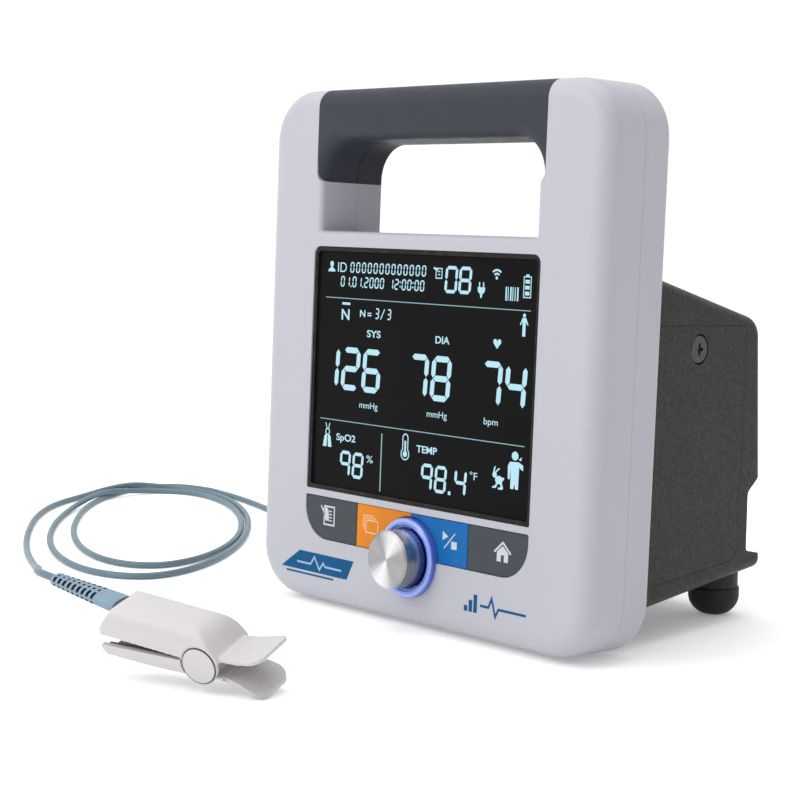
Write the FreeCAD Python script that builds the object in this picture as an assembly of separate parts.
"""Bench-top patient monitor with a plugged-in finger-clip sensor. Millimetres, +Z up, front faces -Y.

The monitor is drawn upright in its face frame: x to the viewer's right, y back from the front face, z up the
face from its lower edge. stand() then leans it back and sets it on its feet. The sensor, its lead and the feet
are drawn straight in the part's own frame, whose origin is on the table at the middle of the object.
"""
import FreeCAD, Part
import math
import os

V = FreeCAD.Vector

# ---- driving dimensions -------------------------------------------------------------------------------
FACE_W = 194.0            # front frame, across
FACE_H = 214.3            # top of the front frame, up the face
FACE_FOOT = 0.4           # its lower edge
FRAME_DEPTH = 33.2        # front frame, front to back
SEAM_DEPTH = 19.2         # parting line between the frame's front and rear shells
FRAME_CORNER_R = 21.3
FRAME_FRONT_R = 7.6
FRAME_BACK_R = 2.0
WALL = 3.0
SEAM_GAP = 0.15           # half the seam between soft and side pieces
SEAM_FINE = 0.05          # half the seam between the two hard shells

LEAN_DEG = 2.5            # the face leans back
FACE_LIFT = 1.8           # height of the face's lower edge above the table
ORIGIN_Y = -4.70          # middle of the object, front to back, behind the face's lower edge

GAP_HALF_W = 62.4         # hand gap under the carrying bar
GAP_BOTTOM = 155.7
GAP_TOP = 193.0
GAP_TOP_R = 15.0
GAP_EDGE_R = 2.4          # front edge of the gap in the hard shell
GRIP_EDGE_R = 6.0         # front edge of the gap in the soft grip
GAP_BACK_R = 0.8
GRIP_HALF_W = 65.7        # soft grip round the bar
GRIP_BOTTOM = 176.2
GRIP_CORNER_R = 4.0

PANEL_HALF_W = 65.6       # screen and keys share this width
SCREEN_BOTTOM = 47.9
SCREEN_TOP = 149.35
SCREEN_TOP_R = 3.5
KEYS_BOTTOM = 27.1
KEYS_TOP = 45.2
KEYS_CORNER_R = 14.0
KEY_NAMES = ("key_records", "key_menu", "key_start_stop", "key_home")
KEY_GAP = 0.2
KEY_TRAVEL = 0.8
KEY_FACE = 0.35           # how far the keys stand behind the frame's face
KEY_THICK = 1.65
STEM_X = (-49.2, -24.0, 24.0, 49.2)
STEM_Z = 36.0

KNOB_Z = 27.2             # knob centre, up the face
KNOB_R = 11.6
KNOB_REACH = 12.0         # how far the knob stands out of the face
RING_R = 15.95
SHAFT_R = 3.0
SHAFT_CLEARANCE = 0.05
PRESS_TRAVEL = 1.0

HOUSING_HALF_W = 84.0     # rear housing at the back of the frame
HOUSING_DRAFT_DEG = 5.0
HOUSING_BACK = 129.1      # deepest point of the rear housing
HOUSING_WALL = 2.6
REAR_FOOT_POINT = (129.0, 24.3)    # lower and upper corner of the leaning rear plane, depth and height
REAR_HEAD_POINT = (119.2, 126.4)
REAR_LEAN = math.degrees(math.atan2(REAR_FOOT_POINT[0] - REAR_HEAD_POINT[0],
                                    REAR_HEAD_POINT[1] - REAR_FOOT_POINT[1]))
REAR_SCREWS = ((-62, 108), (62, 108), (-62, 72), (62, 72))
DOOR_SCREWS = ((-36, 90), (36, 90))
COVER_BACK = 109.7        # side covers
COVER_FOOT = 21.9         # lower edge at the frame
COVER_BOTTOM = 29.2       # lower edge at the back
COVER_TOP = 124.0
COVER_THICK = 2.6
COVER_SCREW_Y = 75.8
COVER_SCREW_Z = 114.9

STAND_HOLE_R = 2.0
STAND_SPACING_X = 50.0
STAND_SPACING_Y = 35.0
STAND_Y = 72.0
STAND_FACE_Z = 13.0

SOCKET_Y = 78.0           # ports on the left side, depth behind the face
NIBP_Z = 100.0
SPO2_Z = 66.0
TEMP_Z = 38.0
NIBP_BORE_R = 3.0
TEMP_BORE_R = 3.2

FOOT_X = 60.0
REAR_FOOT_Y = 118.0
REAR_FOOT_R = 10.5
REAR_FOOT_H = 12.0
REAR_FOOT_DOME_R = 8.5    # rounding of its lower edge

LEAD_R = 1.5              # sensor lead
COIL_YAW = 48.5           # the loops' short axis, from +X
COIL_OUTER = (-136.0, 229.5, 60.5, 137.5)    # centre along and across that axis, half width, half length
COIL_INNER = (-127.0, 231.0, 42.0, 106.0)

CLIP_YAW = 22.0           # clip's long axis, from +X
CLIP_PITCH = 8.0          # its mouth is held up by the lead
CLIP_ROLL = 16.0          # and it lies tipped to its near side
CLIP_SCALE = 0.93         # the clip is drawn in its large size and made in this share of it
CLIP_MOUTH = (-12.8, -128.6, 19.8)
CLIP_W = 23.0
CLIP_LENGTH = 72.0
CLIP_TOP = 12.0           # crown of the upper shell above the plane between the jaws
CLIP_HINGE_A = 45.0       # hinge, from the mouth
CLIP_HINGE_C = -1.0       # hinge, from the plane between the jaws
CLIP_REST_DEG = 5.0       # the jaw's angle to the upper shell at rest
EAR_R = 8.0
PIN_R = 1.75
RELIEF_LENGTH = 37.0
RELIEF_DROOP_DEG = 6.0    # how far its tip hangs
RELIEF_SIDE_DEG = 15.0    # how far its tip is bent to the far side
RELIEF_C = 8.4            # middle of the strain relief above the plane between the jaws


# ---- small helpers ------------------------------------------------------------------------------------
def block(x0, x1, y0, y1, z0, z1):
    return Part.makeBox(x1 - x0, y1 - y0, z1 - z0, V(x0, y0, z0))


def rod(radius, start, end):
    axis = V(*end) - V(*start)
    return Part.makeCylinder(radius, axis.Length, V(*start), axis)


def rounded_outline(x0, x1, z0, z1, y, radii):
    """Closed wire in the plane y, corner radii from the bottom left, anticlockwise seen from the front."""
    places = [(x0, z0, 1, 1, 180), (x1, z0, -1, 1, 270), (x1, z1, -1, -1, 0), (x0, z1, 1, -1, 90)]
    edges = []
    ends = []
    for (cx, cz, sx, sz, start), radius in zip(places, radii):
        if radius == 0:
            ends.append((V(cx, y, cz), V(cx, y, cz)))
            continue
        turn = [math.radians(start + step) for step in (0, 45, 90)]
        arc = [V(cx + radius * (sx + math.cos(a)), y, cz + radius * (sz + math.sin(a))) for a in turn]
        edges.append(Part.Arc(*arc).toShape())
        ends.append((arc[0], arc[2]))
    for corner in range(4):
        here = ends[corner][1]
        there = ends[(corner + 1) % 4][0]
        edges.append(Part.makeLine(here, there))
    return Part.Wire(Part.__sortEdges__(edges))


def rounded_prism(x0, x1, z0, z1, y0, y1, radii):
    return Part.Face(rounded_outline(x0, x1, z0, z1, y0, radii)).extrude(V(0, y1 - y0, 0))


def soft_wire(corners, place):
    """Closed wire through flat (p, q, radius) corners, each rounded by a tangent arc; place sets it in space."""
    edges = []
    ends = []
    count = len(corners)
    for index, (p, q, radius) in enumerate(corners):
        here = V(p, q, 0)
        if radius == 0:
            ends.append((here, here))
            continue
        back = (V(*corners[index - 1][:2], 0) - here).normalize()
        ahead = (V(*corners[(index + 1) % count][:2], 0) - here).normalize()
        turn = math.pi - back.getAngle(ahead)
        reach = radius * math.tan(turn / 2)
        start = here + back * reach
        end = here + ahead * reach
        middle = here + (back + ahead).normalize() * (radius / math.cos(turn / 2) - radius)
        edges.append(Part.Arc(place(start), place(middle), place(end)).toShape())
        ends.append((start, end))
    for index in range(count):
        edges.append(Part.makeLine(place(ends[index][1]), place(ends[(index + 1) % count][0])))
    return Part.Wire(Part.__sortEdges__(edges))


def soft_side_prism(corners, x0, x1):
    """Extrude (y, z, radius) corners across x."""
    wire = soft_wire(corners, lambda flat: V(x0, flat.x, flat.y))
    return Part.Face(wire).extrude(V(x1 - x0, 0, 0))


def side_prism(points, x0, x1):
    """Extrude a (y, z) polygon across x."""
    corners = [V(x0, y, z) for y, z in points]
    return Part.Face(Part.makePolygon(corners + corners[:1])).extrude(V(x1 - x0, 0, 0))


def plan_prism(points, z0, z1):
    """Extrude an (x, y) polygon up z."""
    corners = [V(x, y, z0) for x, y in points]
    return Part.Face(Part.makePolygon(corners + corners[:1])).extrude(V(0, 0, z1 - z0))


def edges_at_depth(shape, y, half_w, z0, z1):
    """Edges that lie wholly in the plane y, inside the given window."""
    found = []
    for edge in shape.Edges:
        box = edge.BoundBox
        flat = abs(box.YMin - y) < 0.01 and abs(box.YMax - y) < 0.01
        inside = box.XMin > -half_w and box.XMax < half_w and box.ZMin > z0 and box.ZMax < z1
        if flat and inside:
            found.append(edge)
    return found


def edges_along(shape, axis, test):
    """Straight edges that run along axis and whose middle passes the test."""
    found = []
    for edge in shape.Edges:
        if edge.Curve.TypeId != "Part::GeomLine":
            continue
        run = edge.Vertexes[-1].Point - edge.Vertexes[0].Point
        if abs(run.dot(axis)) > 0.98 * run.Length * axis.Length and test(edge.CenterOfMass):
            found.append(edge)
    return found


def stand(shape):
    """Lean a piece of the monitor back and set it over the feet."""
    placed = shape.copy()
    placed.rotate(V(0, 0, 0), V(1, 0, 0), -LEAN_DEG)
    placed.translate(V(0, 0, FACE_LIFT))
    return placed


def cross_slots(radius, depth):
    """Cross recess cut into a screw head that faces -Y at the origin."""
    wide = 0.16 * radius
    across = block(-0.55 * radius, 0.55 * radius, -0.1, depth, -wide, wide)
    upright = block(-wide, wide, -0.1, depth, -0.55 * radius, 0.55 * radius)
    return across.fuse(upright)


def screw(radius, head, shank_r, shank):
    """Screw whose head faces -Y at the origin."""
    body = rod(radius, (0, 0, 0), (0, head, 0))
    body = body.makeChamfer(0.08 * radius, edges_at_depth(body, 0.0, 2 * radius, -2 * radius, 2 * radius))
    body = body.fuse(rod(shank_r, (0, head, 0), (0, head + shank, 0)))
    return body.cut(cross_slots(0.75 * radius, 0.6 * head)).removeSplitter()


# ---- front frame and carrying bar ---------------------------------------------------------------------
def frame_solid(gap_edge):
    """The whole frame, both shells and the bar, with its hand gap, whose front edge is rounded by gap_edge."""
    corner = FRAME_CORNER_R
    half = FACE_W / 2
    body = rounded_prism(-half, half, FACE_FOOT, FACE_H, 0, FRAME_DEPTH, (corner,) * 4)
    body = body.makeFillet(FRAME_FRONT_R, edges_at_depth(body, 0, 200, -1, 400))
    body = body.makeFillet(FRAME_BACK_R, edges_at_depth(body, FRAME_DEPTH, 200, -1, 400))
    gap = rounded_prism(-GAP_HALF_W, GAP_HALF_W, GAP_BOTTOM, GAP_TOP, -1, FRAME_DEPTH + 1,
                        (1.0, 1.0, GAP_TOP_R, GAP_TOP_R))
    body = body.cut(gap)
    window = (GAP_HALF_W + 1, GAP_BOTTOM - 1, GAP_TOP + 1)
    body = body.makeFillet(gap_edge, edges_at_depth(body, 0, *window))
    return body.makeFillet(GAP_BACK_R, edges_at_depth(body, FRAME_DEPTH, *window))


def seam_groove(half_gap, depth):
    """Groove round the outside and round the hand gap, where the two shells meet."""
    half = FACE_W / 2
    y0 = SEAM_DEPTH - half_gap
    y1 = SEAM_DEPTH + half_gap
    outside = rounded_prism(-half - 1, half + 1, -1, FACE_H + 1, y0, y1, (FRAME_CORNER_R,) * 4)
    outside = outside.cut(rounded_prism(-half + depth, half - depth, FACE_FOOT + depth, FACE_H - depth, y0, y1,
                                        (FRAME_CORNER_R - depth,) * 4))
    inside = rounded_prism(-GAP_HALF_W - depth, GAP_HALF_W + depth, GAP_BOTTOM - depth, GAP_TOP + depth,
                           y0, y1, (1.5, 1.5, GAP_TOP_R + depth, GAP_TOP_R + depth))
    return outside.fuse(inside)


def grip_region(extra):
    return rounded_prism(-GRIP_HALF_W - extra, GRIP_HALF_W + extra, GRIP_BOTTOM - extra, FACE_H + 20, -5,
                         FRAME_DEPTH + 5, (GRIP_CORNER_R, GRIP_CORNER_R, 0, 0))


def handle_core():
    return rounded_prism(-82, 82, 197, 209, 10, 24, (3, 3, 3, 3))


def shell_hollows(y0, y1):
    """Room inside the frame: below the hand gap, and in the two posts beside it."""
    inner_r = FRAME_CORNER_R - WALL
    half = FACE_W / 2 - WALL
    hollow = rounded_prism(-half, half, WALL + 1, GAP_BOTTOM - WALL, y0, y1, (inner_r, inner_r, 0, 0))
    for side in (-1, 1):
        inner = side * (GRIP_HALF_W + WALL)
        outer = side * half
        radii = (0, 0, inner_r, 2) if side > 0 else (0, 0, 2, inner_r)
        hollow = hollow.fuse(rounded_prism(min(inner, outer), max(inner, outer), GAP_BOTTOM - WALL - 1,
                                           FACE_H - WALL, y0, y1, radii))
    if y0 > SEAM_DEPTH / 2:
        return hollow
    shoulder = block(-200, 200, y0 - 1, y0 + 3, -5, 300)
    step = rounded_prism(-half + 4, half - 4, 2 * WALL + 2, FACE_H - WALL - 4, y0 - 2, y0 + 4, (inner_r - 4,) * 4)
    return hollow.cut(shoulder.cut(step))


def panel_openings():
    half = PANEL_HALF_W
    screen = rounded_prism(-half, half, SCREEN_BOTTOM, SCREEN_TOP, -1, WALL + 1,
                           (0.8, 0.8, SCREEN_TOP_R, SCREEN_TOP_R))
    keys = rounded_prism(-half, half, KEYS_BOTTOM, KEYS_TOP, -1, WALL + 1,
                         (KEYS_CORNER_R, KEYS_CORNER_R, 0.8, 0.8))
    ring = rod(RING_R + 0.05, (0, -1, KNOB_Z), (0, WALL + 1, KNOB_Z))
    return screen.fuse(keys).fuse(ring)


def front_frame_nodes():
    hard = frame_solid(GAP_EDGE_R).cut(seam_groove(SEAM_FINE, 0.3))
    soft = frame_solid(GRIP_EDGE_R).cut(seam_groove(SEAM_GAP, 0.5)).common(grip_region(0))
    fore = block(-200, 200, -5, SEAM_DEPTH, -5, 300)
    aft = block(-200, 200, SEAM_DEPTH, FRAME_DEPTH + 5, -5, 300)
    core = handle_core()
    hard = hard.cut(grip_region(SEAM_GAP)).cut(core)
    rear_opening = rounded_prism(-79, 79, 17, 139, SEAM_DEPTH, FRAME_DEPTH + 1, (8, 8, 8, 8))
    bezel = hard.common(fore).cut(shell_hollows(WALL, SEAM_DEPTH + 1)).cut(panel_openings())
    back = hard.common(aft).cut(shell_hollows(SEAM_DEPTH - 1, FRAME_DEPTH - WALL)).cut(rear_opening)
    return {
        "front_bezel": bezel,
        "rear_bezel": back,
        "grip_front": soft.common(fore).cut(core),
        "grip_rear": soft.common(aft).cut(core),
        "handle_core": core,
    }


# ---- screen, keys and knob ----------------------------------------------------------------------------
def screen_nodes():
    half = PANEL_HALF_W - 0.15
    low = SCREEN_BOTTOM + 0.15
    high = SCREEN_TOP - 0.15
    rim = 1.7
    gasket = rounded_prism(-half, half, low, high, 0.6, 1.6, (0.8, 0.8, SCREEN_TOP_R, SCREEN_TOP_R))
    gasket = gasket.cut(rounded_prism(-half + rim, half - rim, low + rim, high - rim, 0, 2,
                                      (0.8, 0.8, SCREEN_TOP_R - rim, SCREEN_TOP_R - rim)))
    window = rounded_prism(-half, half, low, high, 1.6, WALL, (0.8, 0.8, SCREEN_TOP_R, SCREEN_TOP_R))
    return {
        "display_gasket": gasket,
        "display_window": window,
        "lcd_module": block(-62, 62, WALL, 9, 51, 146),
    }


def key_nodes():
    """Four keys side by side: the outer two end in the panel's round corners, the inner two meet the ring."""
    half = PANEL_HALF_W
    whole = rounded_prism(-half + KEY_GAP, half - KEY_GAP, KEYS_BOTTOM + KEY_GAP, KEYS_TOP - KEY_GAP,
                          KEY_FACE, KEY_FACE + KEY_THICK,
                          (KEYS_CORNER_R - KEY_GAP, KEYS_CORNER_R - KEY_GAP, 0.6, 0.6))
    whole = whole.cut(rod(RING_R + 0.35, (0, -1, KNOB_Z), (0, 5, KNOB_Z)))
    nodes = {}
    width = 2 * half / len(KEY_NAMES)
    for index, name in enumerate(KEY_NAMES):
        left = -half + index * width + KEY_GAP / 2
        cap = whole.common(block(left, left + width - KEY_GAP, -1, 5, 0, 60))
        cap = cap.makeChamfer(0.25, edges_at_depth(cap, KEY_FACE, 100, 0, 100))
        x = STEM_X[index]
        back = KEY_FACE + KEY_THICK
        stem = block(x - 3, x + 3, back, 5.4, STEM_Z - 2.5, STEM_Z + 2.5)
        nodes[name] = cap.fuse(stem).removeSplitter()
    return nodes


def knob_nodes():
    z = KNOB_Z
    knob = rod(KNOB_R, (0, -KNOB_REACH, z), (0, -0.5, z))
    knob = knob.makeChamfer(0.7, edges_at_depth(knob, -KNOB_REACH, 50, 0, 60))
    knob = knob.cut(rod(SHAFT_R, (0, -9, z), (0, 0, z)))
    shaft = rod(SHAFT_R, (0, -9, z), (0, 11.5, z))
    sleeve = rod(5.0, (0, 5, z), (0, 10, z)).cut(rod(SHAFT_R + SHAFT_CLEARANCE, (0, 4, z), (0, 11, z)))

    ring = rod(RING_R, (0, -2.6, z), (0, WALL, z))
    ring = ring.makeFillet(1.1, edges_at_depth(ring, -2.6, 50, 0, 60))
    ring = ring.fuse(rod(RING_R + 1.5, (0, WALL, z), (0, WALL + 1.3, z)))
    ring = ring.cut(rod(13.6, (0, -4, z), (0, -1.5, z))).cut(rod(12.35, (0, -4, z), (0, 1.6, z)))
    ring = ring.cut(rod(SHAFT_R + 0.6, (0, -4, z), (0, 6, z)))

    encoder = block(-8, 8, WALL + 1.5, 15, z - 8, z + 8)
    encoder = encoder.cut(rod(5.05, (0, 4, z), (0, 13, z)))
    return {
        "knob": knob,
        "knob_shaft": shaft,
        "encoder_sleeve": sleeve,
        "light_ring": ring,
        "encoder_body": encoder,
    }


def board_nodes():
    z = KNOB_Z
    keys = block(-62, 62, 7.0, 8.6, 14, 46).cut(block(-8.2, 8.2, 6, 10, z - 8.2, z + 8.2))
    for x in STEM_X:
        keys = keys.fuse(rod(2.2, (x, 6.3, STEM_Z), (x, 7.0, STEM_Z)))
    main = block(-72, 72, 24, 25.6, 20, 136)
    for x, zz, w, h, t in ((-40, 100, 18, 18, 2.2), (10, 96, 24, 24, 2.0), (42, 60, 14, 14, 1.6),
                           (-30, 55, 30, 8, 6.0), (-5, 38, 40, 6, 8.0)):
        main = main.fuse(block(x, x + w, 25.6, 25.6 + t, zz, zz + h))
    return {"key_board": keys.removeSplitter(), "main_board": main.removeSplitter()}


# ---- rear housing -------------------------------------------------------------------------------------
def half_width(y):
    return HOUSING_HALF_W - (y - FRAME_DEPTH) * math.tan(math.radians(HOUSING_DRAFT_DEG))


def drafted_plan(inset, y0, y1):
    """Plan outline of the housing, narrowing towards the back."""
    return plan_prism([(-half_width(y0) + inset, y0), (half_width(y0) - inset, y0),
                       (half_width(y1) - inset, y1), (-half_width(y1) + inset, y1)], -10, 200)


def housing_profile(inset):
    """Side view of the housing without its rear notch: sloping top, leaning back, rising underside."""
    front = FRAME_DEPTH if inset == 0 else FRAME_DEPTH - 1
    low = 12.2 + inset
    high = 146.0 - inset
    (foot_y, foot_z), (head_y, head_z) = REAR_FOOT_POINT, REAR_HEAD_POINT
    return soft_side_prism([(front, low, 0), (foot_y - inset, foot_z + inset, 3.2 - inset),
                            (head_y - inset, head_z - inset, 9.0 - inset), (front, high, 0)], -100, 100)


def housing_outer():
    body = housing_profile(0).common(drafted_plan(0, FRAME_DEPTH, HOUSING_BACK + 2))
    (foot_y, foot_z), (head_y, head_z) = REAR_FOOT_POINT, REAR_HEAD_POINT
    upright = V(0, head_y - foot_y, head_z - foot_z)
    rear_corners = edges_along(body, upright, lambda p: p.y > 110 and abs(p.x) > 60)
    return body.makeFillet(5.0, rear_corners)


def rear_notch():
    """Connector recess right across the back, above a round-nosed ledge that stands on the same rear plane."""
    return soft_side_prism([(134, 63.4, 0), (125.6, 64.2, 0), (115.3, 56.2, 3.5), (116.1, 31.7, 2.2),
                            (124.2, 30.7, 0), (134, 28.2, 0)], -100, 100)


def side_cover(side, extra):
    """Slab of the drafted side wall, cut to the cover's outline and grown by extra."""
    slab = drafted_plan(0, FRAME_DEPTH, HOUSING_BACK + 2)
    slab = slab.cut(drafted_plan(COVER_THICK + extra, FRAME_DEPTH - 1, HOUSING_BACK + 3))
    x0, x1 = (20, 100) if side > 0 else (-100, -20)
    back = COVER_BACK + extra
    window = soft_side_prism([(FRAME_DEPTH, COVER_FOOT - extra, 0), (back, COVER_BOTTOM - extra, 7.5),
                              (back - 1.6, COVER_TOP + extra, 2.5), (FRAME_DEPTH, COVER_TOP + extra, 0)], x0, x1)
    return slab.common(window)


def on_wall(shape, side, y, z):
    """Turn a piece that faces -Y at the origin so that it faces out of a side wall."""
    placed = shape.copy()
    placed.rotate(V(0, 0, 0), V(0, 0, 1), side * (90 + HOUSING_DRAFT_DEG))
    placed.translate(V(side * half_width(y), y, z))
    return placed


def port_seat(radius, y, z):
    return rod(radius, (-100, y, z), (-half_width(y) + 14, y, z))


def ports():
    """Ports on the left side, each with its axis square to the monitor's middle plane."""
    wall = -half_width(SOCKET_Y)
    nibp = rod(9, (wall - 1.6, SOCKET_Y, NIBP_Z), (wall + 14, SOCKET_Y, NIBP_Z))
    nibp = nibp.makeChamfer(0.5, [e for e in nibp.Edges if e.BoundBox.XMax < wall - 1.5])
    nibp = nibp.cut(rod(NIBP_BORE_R, (wall - 3, SOCKET_Y, NIBP_Z), (wall + 11, SOCKET_Y, NIBP_Z)))
    spo2 = rod(11, (wall - 1.6, SOCKET_Y, SPO2_Z), (wall + 14, SOCKET_Y, SPO2_Z))
    spo2 = spo2.makeChamfer(0.5, [e for e in spo2.Edges if e.BoundBox.XMax < wall - 1.5])
    spo2 = spo2.cut(rod(7.0, (wall - 3, SOCKET_Y, SPO2_Z), (wall + 9, SOCKET_Y, SPO2_Z)))
    temp = rod(7, (wall - 1.6, SOCKET_Y, TEMP_Z), (wall + 14, SOCKET_Y, TEMP_Z))
    temp = temp.makeChamfer(0.5, [e for e in temp.Edges if e.BoundBox.XMax < wall - 1.5])
    temp = temp.cut(rod(TEMP_BORE_R, (wall - 3, SOCKET_Y, TEMP_Z), (wall + 12, SOCKET_Y, TEMP_Z)))
    return {"nibp_port": nibp, "spo2_socket": spo2, "temp_port": temp}


def rear_ports():
    """Power inlet and data port in the rear notch."""
    wall = 115.4
    power = block(-52, -38, wall - 9, wall + 1.2, 38, 49)
    power = power.cut(rod(2.75, (-45, wall - 7, 43.5), (-45, wall + 2, 43.5)))
    power = power.fuse(rod(1.05, (-45, wall - 8, 43.5), (-45, wall + 0.6, 43.5)))
    data = block(20, 35, wall - 12, wall + 0.8, 40, 47.5)
    data = data.cut(block(21.2, 33.8, wall - 10, wall + 2, 41.2, 46.3))
    data = data.fuse(block(22.0, 33.0, wall - 11, wall - 0.5, 44.2, 45.6))
    return {"power_inlet": power.removeSplitter(), "data_port": data.removeSplitter()}


def battery_door():
    """Plate let into the rear face, with two screws at its ends."""
    outer = housing_outer()
    skin = outer.cut(housing_profile(2.0))
    door = skin.common(rounded_prism(-42, 42, 68, 112, 100, 130, (4, 4, 4, 4)))
    return door


def rear_face_y(z):
    return REAR_FOOT_POINT[0] - (z - REAR_FOOT_POINT[1]) * math.tan(math.radians(REAR_LEAN))


def on_rear(shape, x, z, sink):
    """Turn a piece that faces -Y at the origin so that it faces out of the rear face."""
    placed = shape.copy()
    placed.translate(V(0, sink, 0))
    placed.rotate(V(0, 0, 0), V(0, 0, 1), 180)
    placed.rotate(V(0, 0, 0), V(1, 0, 0), REAR_LEAN)
    placed.translate(V(x, rear_face_y(z), z))
    return placed


def joined(shapes):
    return Part.makeCompound(list(shapes))


def housing_nodes():
    outer = housing_outer()
    inside = housing_profile(HOUSING_WALL).common(drafted_plan(2 * HOUSING_WALL + 0.3, FRAME_DEPTH - 1, 124))
    notch_back = rear_notch()
    notch_wall = notch_back.copy()
    notch_wall.translate(V(0, -HOUSING_WALL, 0))
    housing = outer.cut(inside.cut(notch_wall)).cut(notch_back)

    covers = {}
    cover_screws = []
    screw_body = screw(5.6, 1.8, 2.0, 0.7)
    seat = rod(6.0, (0, -2, 0), (0, 1.8, 0)).fuse(rod(2.0, (0, 1, 0), (0, 2.5, 0)))
    for side, name in ((1, "side_cover_right"), (-1, "side_cover_left")):
        housing = housing.cut(side_cover(side, SEAM_GAP))
        cover = side_cover(side, 0).cut(on_wall(seat, side, COVER_SCREW_Y, COVER_SCREW_Z))
        covers[name] = cover
        cover_screws.append(on_wall(screw_body, side, COVER_SCREW_Y, COVER_SCREW_Z))

    for radius, z in ((9, NIBP_Z), (11, SPO2_Z), (7, TEMP_Z)):
        housing = housing.cut(port_seat(radius, SOCKET_Y, z))
        covers["side_cover_left"] = covers["side_cover_left"].cut(port_seat(radius, SOCKET_Y, z))

    door = battery_door()
    housing = housing.cut(outer.cut(housing_profile(2.0)).common(
        rounded_prism(-42.2, 42.2, 67.8, 112.2, 100, 130, (4.2, 4.2, 4.2, 4.2))))
    small = screw(2.8, 1.4, 1.2, 0.9)
    small_seat = rod(3.1, (0, -2, 0), (0, 1.6, 0)).fuse(rod(1.2, (0, 1, 0), (0, 4, 0)))
    for x, z in REAR_SCREWS:
        housing = housing.cut(on_rear(small_seat, x, z, 0))
    for x, z in DOOR_SCREWS:
        door = door.cut(on_rear(small_seat, x, z, 0))
        housing = housing.cut(on_rear(small_seat, x, z, 0))
    nodes = {
        "rear_housing": housing,
        "battery_door": door,
        "side_cover_screws": joined(cover_screws),
        "housing_screws": joined(on_rear(small, x, z, 0.2) for x, z in REAR_SCREWS),
        "battery_door_screws": joined(on_rear(small, x, z, 0.2) for x, z in DOOR_SCREWS),
    }
    nodes.update(covers)
    for inlet in rear_ports().values():
        nodes["rear_housing"] = nodes["rear_housing"].cut(box_round(inlet))
    return nodes


def box_round(shape):
    """The straight box round a piece."""
    box = shape.BoundBox
    return block(box.XMin, box.XMax, box.YMin, box.YMax, box.ZMin, box.ZMax)


def inner_nodes():
    """Pump, valve, battery and speaker inside the rear housing."""
    pump = rod(13, (-8, 66, 44), (34, 66, 44)).fuse(block(34, 48, 54, 78, 32, 56))
    pump = pump.fuse(rod(2.2, (48, 66, 50), (56, 66, 50)))
    valve = rod(7, (-44, 66, 40), (-20, 66, 40)).fuse(rod(1.8, (-20, 66, 40), (-12, 66, 40)))
    speaker = rod(14, (48, 95, 32), (48, 95, 39)).fuse(rod(9, (48, 95, 39), (48, 95, 46)))
    return {
        "air_pump": pump.removeSplitter(),
        "air_valve": valve.removeSplitter(),
        "battery_pack": block(-40, 40, 84, 108, 68, 108),
        "speaker": speaker.removeSplitter(),
    }


# ---- base: stand plate and feet, drawn in the part's own frame ----------------------------------------
def base_nodes(nodes):
    """Cut the stand plate into the housing and fit the feet under the shells."""
    plate = block(-37, 37, STAND_Y - 28, STAND_Y + 28, STAND_FACE_Z, STAND_FACE_Z + 9)
    corners = edges_along(plate, V(0, 0, 1), lambda p: True)
    plate = plate.makeFillet(5, corners)
    nodes["rear_housing"] = nodes["rear_housing"].cut(plate)
    for x in (-STAND_SPACING_X / 2, STAND_SPACING_X / 2):
        for y in (STAND_Y - STAND_SPACING_Y / 2, STAND_Y + STAND_SPACING_Y / 2):
            plate = plate.cut(rod(STAND_HOLE_R, (x, y, STAND_FACE_Z - 1), (x, y, STAND_FACE_Z + 7.5)))
    collars = []
    pads = []
    rest = []
    for side in (-1, 1):
        x = side * FOOT_X
        collar = rod(REAR_FOOT_R - 0.6, (x, REAR_FOOT_Y, REAR_FOOT_H), (x, REAR_FOOT_Y, 24))
        collars.append(lowest(collar.cut(stand(housing_profile(0)))))
        pad = rod(REAR_FOOT_R, (x, REAR_FOOT_Y, 0), (x, REAR_FOOT_Y, REAR_FOOT_H))
        pad = pad.makeFillet(REAR_FOOT_DOME_R, [e for e in pad.Edges if e.BoundBox.ZMax < 0.1])
        pads.append(pad.makeFillet(0.8, [e for e in pad.Edges if e.BoundBox.ZMin > REAR_FOOT_H - 0.1]))
        rest.append(block(side * FOOT_X - 13, side * FOOT_X + 13, 21, 29, 0, 6))
    frame = stand(frame_solid(GAP_EDGE_R))
    nodes["stand_plate"] = plate
    nodes["rear_foot_collars"] = joined(collars)
    nodes["rear_foot_pads"] = joined(pads)
    nodes["front_foot_pads"] = joined(lowest(foot.cut(frame)) for foot in rest)


def lowest(shape):
    return min(shape.Solids, key=lambda solid: solid.BoundBox.ZMin)


# ---- finger clip: a runs from its mouth to its levers, b across, c up from the plane between the jaws --
def clip_place(shape):
    placed = shape.copy()
    placed.scale(CLIP_SCALE)
    placed.rotate(V(0, 0, 0), V(1, 0, 0), CLIP_ROLL)
    placed.rotate(V(0, 0, 0), V(0, 1, 0), CLIP_PITCH)
    placed.rotate(V(0, 0, 0), V(0, 0, 1), CLIP_YAW)
    placed.translate(V(*CLIP_MOUTH))
    return placed


def clip_turn():
    """Rotation that sets the clip as it lies: rolled, pitched and then turned."""
    return (FreeCAD.Rotation(V(0, 0, 1), CLIP_YAW) * FreeCAD.Rotation(V(0, 1, 0), CLIP_PITCH)
            * FreeCAD.Rotation(V(1, 0, 0), CLIP_ROLL))


def clip_point(a, b, c):
    return V(*CLIP_MOUTH) + clip_turn().multVec(V(a, b, c)) * CLIP_SCALE


def jaw_rest(shape):
    """Open the lower jaw to its resting angle."""
    turned = shape.copy()
    turned.rotate(V(CLIP_HINGE_A, 0, CLIP_HINGE_C), V(0, -1, 0), CLIP_REST_DEG)
    return turned


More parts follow.
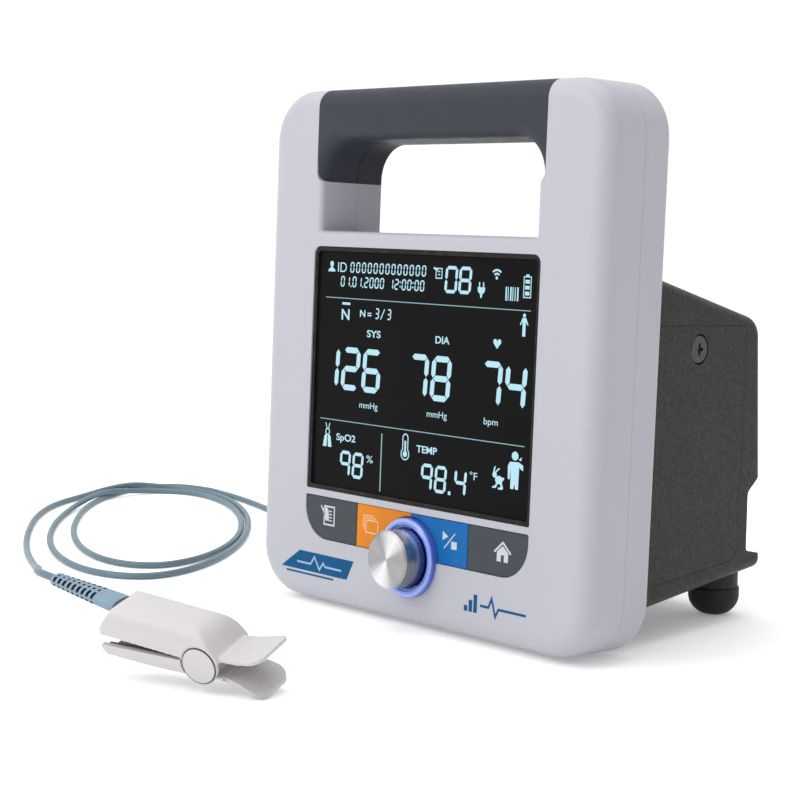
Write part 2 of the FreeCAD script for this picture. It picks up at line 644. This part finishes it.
def profile_across(corners, half_width):
    """Extrude an (a, c, radius) outline across b."""
    wire = soft_wire(corners, lambda flat: V(flat.x, -half_width, flat.y))
    return Part.Face(wire).extrude(V(0, 2 * half_width, 0))


def bar_along(a0, a1, half_width, c0, c1, bottom_r, top_r):
    """Prism along a with a rounded (b, c) section."""
    return prism_along(a0, a1, rounded_prism(-half_width, half_width, c0, c1, 0, a1 - a0,
                                             (bottom_r, bottom_r, top_r, top_r)))


def prism_along(a0, a1, upright):
    """Turn a prism that runs along y so that it runs along a, from a0."""
    turned = upright.copy()
    turned.rotate(V(0, 0, 0), V(0, 0, 1), -90)
    turned.translate(V(a0, 0, 0))
    return turned


def hinge_rod(radius, b0, b1):
    return rod(radius, (CLIP_HINGE_A, b0, CLIP_HINGE_C), (CLIP_HINGE_A, b1, CLIP_HINGE_C))


def lever(root_a, root_c, tip_a, tip_c, sag, thick, half_root, half_tip, corner):
    """Squeeze lever: an arched plate that widens to a tip with round corners."""
    middle = V((root_a + tip_a) / 2, -50, (root_c + tip_c) / 2 - sag)
    low = Part.Arc(V(root_a, -50, root_c), middle, V(tip_a, -50, tip_c)).toShape()
    up = V(0, 0, thick)
    high = low.copy()
    high.translate(up)
    ends = [Part.makeLine(V(root_a, -50, root_c), V(root_a, -50, root_c) + up),
            Part.makeLine(V(tip_a, -50, tip_c), V(tip_a, -50, tip_c) + up)]
    plate = Part.Face(Part.Wire(Part.__sortEdges__([low, high] + ends))).extrude(V(0, 100, 0))
    plan = plan_prism([(root_a, -half_root), (tip_a, -half_tip), (tip_a, half_tip), (root_a, half_root)],
                      -40, 40)
    plan = plan.makeFillet(corner, edges_along(plan, V(0, 0, 1), lambda p: p.x > tip_a - 1))
    return plate.common(plan)


def clip_upper():
    half = CLIP_W / 2
    outline = profile_across([(0, 0, 0), (0, 3.0, 2.0), (4.4, CLIP_TOP, 5.0), (43.5, CLIP_TOP, 16.0),
                              (53, 3.4, 2.0), (53, 1.6, 0), (49, 0, 0)], 20)
    body = bar_along(-1, 60, half, -0.5, CLIP_TOP, 0, 7.0).common(outline)
    body = body.fuse(lever(50.0, 1.7, CLIP_LENGTH, 7.0, 1.2, 1.9, 9.5, 11.8, 5.0))
    for side in (-1, 1):
        body = body.fuse(hinge_rod(EAR_R, side * 9.2, side * half))
    body = body.cut(bar_along(-1, 39, 9, -1, 5.6, 0, 4.0))
    body = body.cut(hinge_rod(6.0, -9.2, 9.2))
    for side in (-1, 1):
        body = body.cut(hinge_rod(EAR_R - 0.7, side * (half - 1.2), side * (half + 2)))
    return body.cut(hinge_rod(PIN_R, -20, 20))


def clip_lower():
    half = CLIP_W / 2 - 0.4
    outline = profile_across([(0.6, -0.3, 0), (0.6, -1.6, 0.6), (2.6, -4.0, 2.0), (36, -6.8, 20), (54.5, -6.8, 0),
                              (54.5, -4.6, 0), (51, -4.2, 0), (48, -0.3, 0)], 20)
    body = bar_along(0, 60, half, -7, -0.3, 3.0, 0).common(outline)
    body = body.fuse(lever(52.5, -6.6, CLIP_LENGTH - 1, -12.2, -1.2, 1.9, 9.0, 11.4, 5.0))
    body = body.cut(bar_along(-1, 39, 9, -4.4, 1, 2.5, 0))
    for side in (-1, 1):
        body = body.cut(hinge_rod(EAR_R + 0.5, side * 8.8, side * 15))
    body = body.fuse(hinge_rod(5.4, -8.8, 8.8))
    body = body.cut(hinge_rod(4.3, -4.5, 4.5)).cut(block(38, 52, -4.5, 4.5, -1, 6))
    body = body.cut(hinge_rod(PIN_R + 0.05, -20, 20))
    return body.removeSplitter()


def clip_nodes():
    half = CLIP_W / 2
    pad_up = bar_along(1.5, 38.8, 8.9, 0.15, 5.5, 0, 4.0).cut(bar_along(0, 40, 7.4, -1, 4.0, 0, 3.4))
    pad_low = bar_along(2.5, 38.8, 8.9, -4.3, -0.5, 2.5, 0).cut(bar_along(0, 34, 7.4, -3.2, 1, 2.5, 0))
    emitter = rod(3.0, (20, 0, 3.6), (20, 0, 4.9))
    detector = rod(3.0, (20, 0, -3.9), (20, 0, -2.9))
    caps = [hinge_rod(EAR_R - 1.0, side * (half - 1.2), side * (half + 0.15)) for side in (-1, 1)]
    spring = hinge_rod(3.6, -4, 4).cut(hinge_rod(2.5, -5, 5))
    seat = clip_relief_solid()
    nodes = {
        "clip_upper_shell": clip_upper().cut(seat),
        "clip_relief": seat,
        "clip_upper_pad": pad_up.cut(emitter),
        "clip_emitter": emitter,
        "clip_lower_jaw": jaw_rest(clip_lower()),
        "clip_lower_pad": jaw_rest(pad_low.cut(detector)),
        "clip_detector": jaw_rest(detector),
        "clip_hinge_pin": hinge_rod(PIN_R, -10.3, 10.3),
        "clip_hinge_caps": joined(caps),
        "clip_spring": spring,
    }
    return {name: clip_place(shape) for name, shape in nodes.items()}


def clip_relief_solid():
    """Flat-sided strain relief, seated in the shell and drooping a little towards the lead."""
    sections = []
    for a, half_w, half_h in ((5.0, 5.2, 2.7), (0.0, 5.2, 2.7), (-9.0, 4.9, 2.65), (-RELIEF_LENGTH, 3.1, 2.2)):
        radius = 0.8 * half_h
        wire = rounded_outline(-half_w, half_w, -half_h, half_h, 0, (radius,) * 4)
        wire.rotate(V(0, 0, 0), V(0, 0, 1), -90)
        wire.translate(V(a, 0, 0))
        sections.append(wire)
    boot = Part.makeLoft(sections, True, True)
    boot.rotate(V(2, 0, 0), V(0, -1, 0), RELIEF_DROOP_DEG)
    boot.rotate(V(2, 0, 0), V(0, 0, -1), RELIEF_SIDE_DEG)
    boot.translate(V(0, 0, RELIEF_C))
    return boot


# ---- sensor lead --------------------------------------------------------------------------------------
LEAD_OUT = [              # from the plug's boot to the loops on the table
    (-126.1, 80.8, 64.3), (-139.0, 82.0, 63.4), (-151.0, 84.0, 57.5), (-160.5, 87.0, 46.0),
    (-167.0, 90.0, 32.0), (-175.0, 94.0, 18.5), (-187.0, 99.5, 8.5), (-203.0, 106.5, 3.2),
    (-222.0, 117.5, 1.7), (-243.0, 127.0, 1.6), (-264.0, 133.9, 1.6), (-286.0, 140.3, 1.6),
    (-308.4, 145.2, 1.6), (-332.0, 148.4, 2.4),
]
LEAD_BACK = [             # from the loops to the clip's strain relief
    (-280.8, -4.0, 1.8), (-264.1, -14.9, 1.6), (-244.9, -26.6, 2.0), (-219.4, -41.2, 4.0),
    (-184.5, -60.5, 8.4), (-139.7, -84.8, 14.6), (-114.2, -98.9, 20.0), (-90.3, -114.1, 25.0),
    (-69.3, -126.7, 29.4), (-59.4, -132.0, 31.0), (-50.6, -133.5, 31.2), (-44.3, -133.1, 30.7),
]


def tube(points, radius, name):
    """Straight runs joined by tangent arcs, each as large as its two runs allow."""
    corners = [V(*p) for p in points]
    edges = []
    here = corners[0]
    smallest = 1e9
    for before, corner, after in zip(corners, corners[1:], corners[2:]):
        back = (before - corner).normalize()
        ahead = (after - corner).normalize()
        turn = math.pi - back.getAngle(ahead)
        reach = 0.45 * min((corner - before).Length, (after - corner).Length)
        bend = reach / math.tan(turn / 2)
        smallest = min(smallest, bend)
        start = corner + back * reach
        end = corner + ahead * reach
        inward = (back + ahead).normalize()
        middle = corner + inward * (bend / math.cos(turn / 2) - bend)
        edges.append(Part.LineSegment(here, start).toShape())
        edges.append(Part.Arc(start, middle, end).toShape())
        here = end
    edges.append(Part.LineSegment(here, corners[-1]).toShape())
    path = Part.Wire(edges)
    ring = Part.Wire(Part.makeCircle(radius, corners[0], corners[1] - corners[0]))
    solid = path.makePipeShell([ring], True, False)
    expected = math.pi * radius ** 2 * path.Length
    print(f"{name}: length {path.Length:.1f}, smallest radius {smallest:.1f}, "
          f"volume ratio {solid.Volume / expected:.4f}")
    return solid


def loop_band():
    """Outer shape of the loose loops: an oval band on the table."""
    faces = []
    for middle_s, middle_d, half_w, half_l in (COIL_OUTER, COIL_INNER):
        oval = Part.Ellipse(V(middle_s, middle_d), half_l, half_w).toShape()
        oval.rotate(V(middle_s, middle_d), V(0, 0, 1), 90)
        faces.append(Part.Face(Part.Wire([oval])))
    band = faces[0].cut(faces[1]).extrude(V(0, 0, 4 * LEAD_R + 0.5))
    band.rotate(V(0, 0, 0), V(0, 0, 1), COIL_YAW)
    return band


def lead_nodes():
    wall = -half_width(SOCKET_Y)
    plug = rod(6.95, (wall + 8.5, SOCKET_Y, SPO2_Z), (wall - 1.6, SOCKET_Y, SPO2_Z))
    grip = rod(8.5, (wall - 1.6, SOCKET_Y, SPO2_Z), (wall - 24, SOCKET_Y, SPO2_Z))
    grip = grip.makeFillet(1.5, [e for e in grip.Edges if e.BoundBox.XMax < wall - 20])
    boot = Part.makeCone(4.6, 2.6, 22, V(wall - 24, SOCKET_Y, SPO2_Z), V(-1, 0, 0))
    return {
        "spo2_plug": stand(plug.fuse(grip).removeSplitter()),
        "spo2_plug_boot": stand(boot),
        "sensor_lead": tube(LEAD_OUT, LEAD_R, "sensor_lead"),
        "sensor_lead_loops": loop_band(),
        "sensor_lead_end": tube(LEAD_BACK, LEAD_R, "sensor_lead_end"),
    }


# ---- everything ---------------------------------------------------------------------------------------
def all_nodes():
    nodes = {}
    for group in (front_frame_nodes(), screen_nodes(), key_nodes(), knob_nodes(), board_nodes(),
                  housing_nodes(), ports(), rear_ports(), inner_nodes()):
        nodes.update({name: stand(shape) for name, shape in group.items()})
    base_nodes(nodes)
    nodes.update(lead_nodes())
    nodes.update(clip_nodes())
    for shape in nodes.values():
        shape.translate(V(0, -ORIGIN_Y, 0))
    return nodes


def main():
    os.makedirs("parts", exist_ok=True)
    for name, shape in all_nodes().items():
        if not shape.isValid():
            print("not valid:", name)
        shape.exportStep(f"parts/{name}.step")


main()
